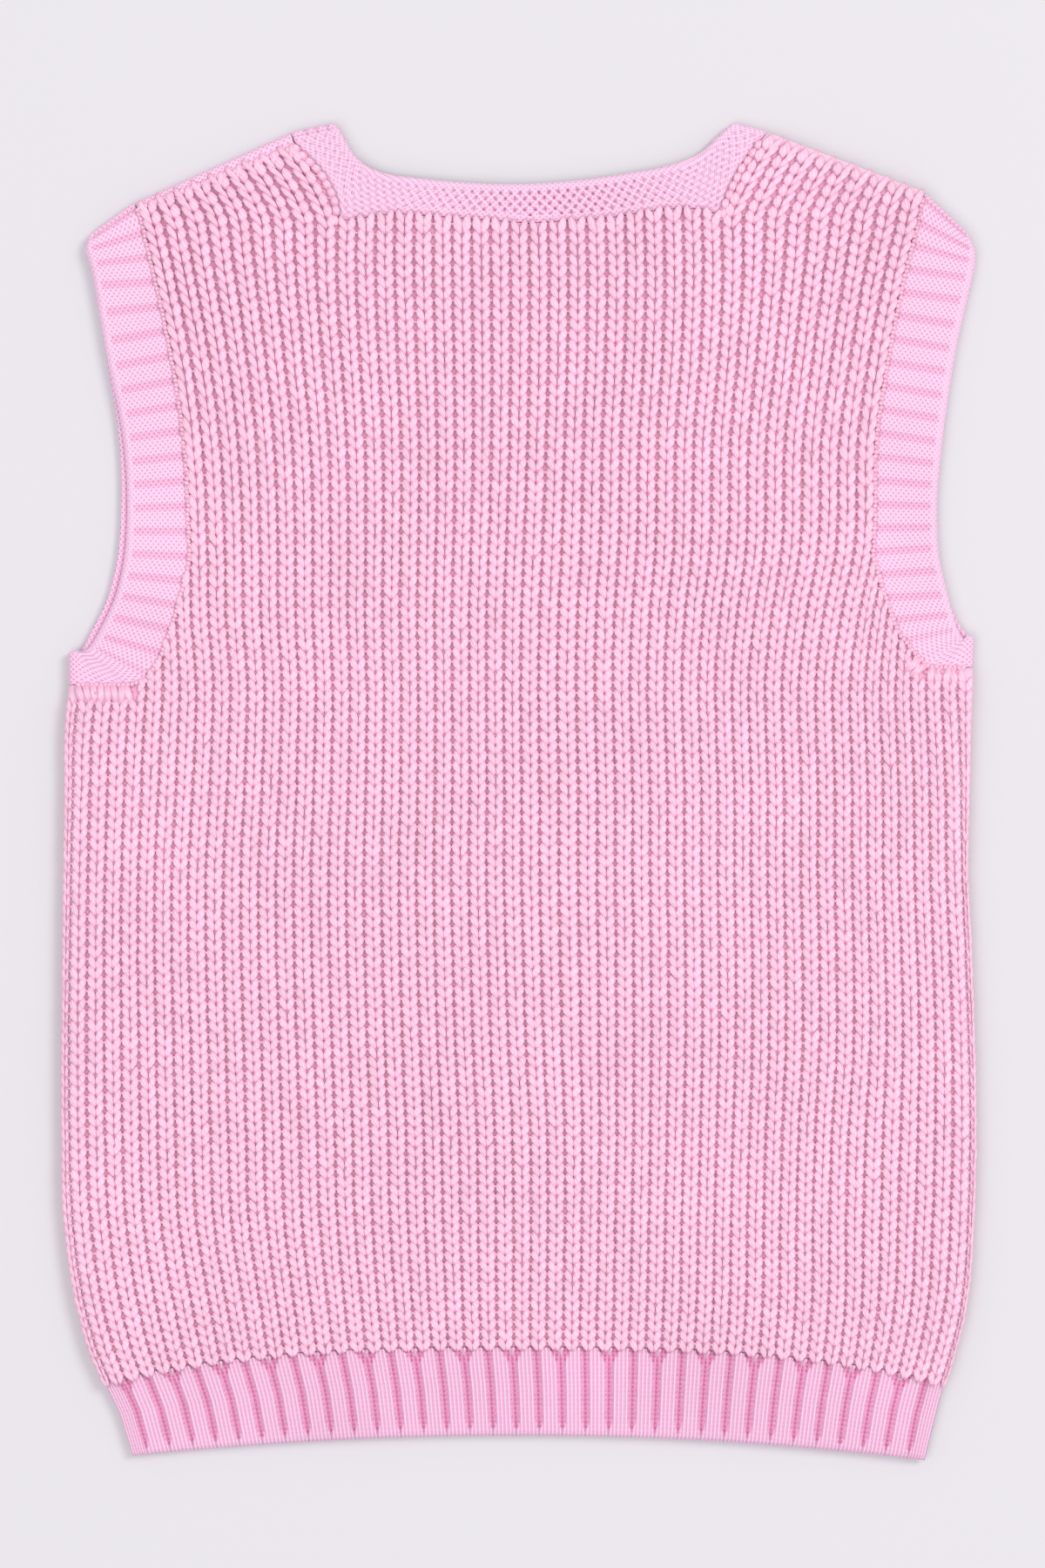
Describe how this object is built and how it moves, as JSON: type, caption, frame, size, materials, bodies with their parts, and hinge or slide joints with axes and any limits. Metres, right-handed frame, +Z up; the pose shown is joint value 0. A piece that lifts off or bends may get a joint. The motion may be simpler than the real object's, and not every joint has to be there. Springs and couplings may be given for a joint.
{
  "type": "knitted sweater vest",
  "caption": "Sleeveless chunky rib-knit vest laid flat, back upwards, with knitted armbands, a neckband over a front V neck and a ribbed hem.",
  "frame": {"origin": "centre of the bounding box in plan, at the height of the surface the vest lies on", "axes": "+Y towards the neck, +Z up through the back panel, +X to the right as seen from above, which is the wearer's right"},
  "size_m": [0.4304, 0.6294, 0.0096],
  "materials": {
    "body_knit": "matt chunky knit yarn, light pink",
    "hem_knit": "matt ribbed knit yarn, light pink",
    "band_knit": "matt fine knit yarn, light pink"
  },
  "bodies": {
    "root": {"back_panel": "body_knit", "front_panel": "body_knit", "hem_rib_back": "hem_knit", "hem_rib_front": "hem_knit", "armband_left": "band_knit", "armband_right": "band_knit", "neckband": "band_knit", "shoulder_strip_left": "band_knit"}
  },
  "joints": []
}
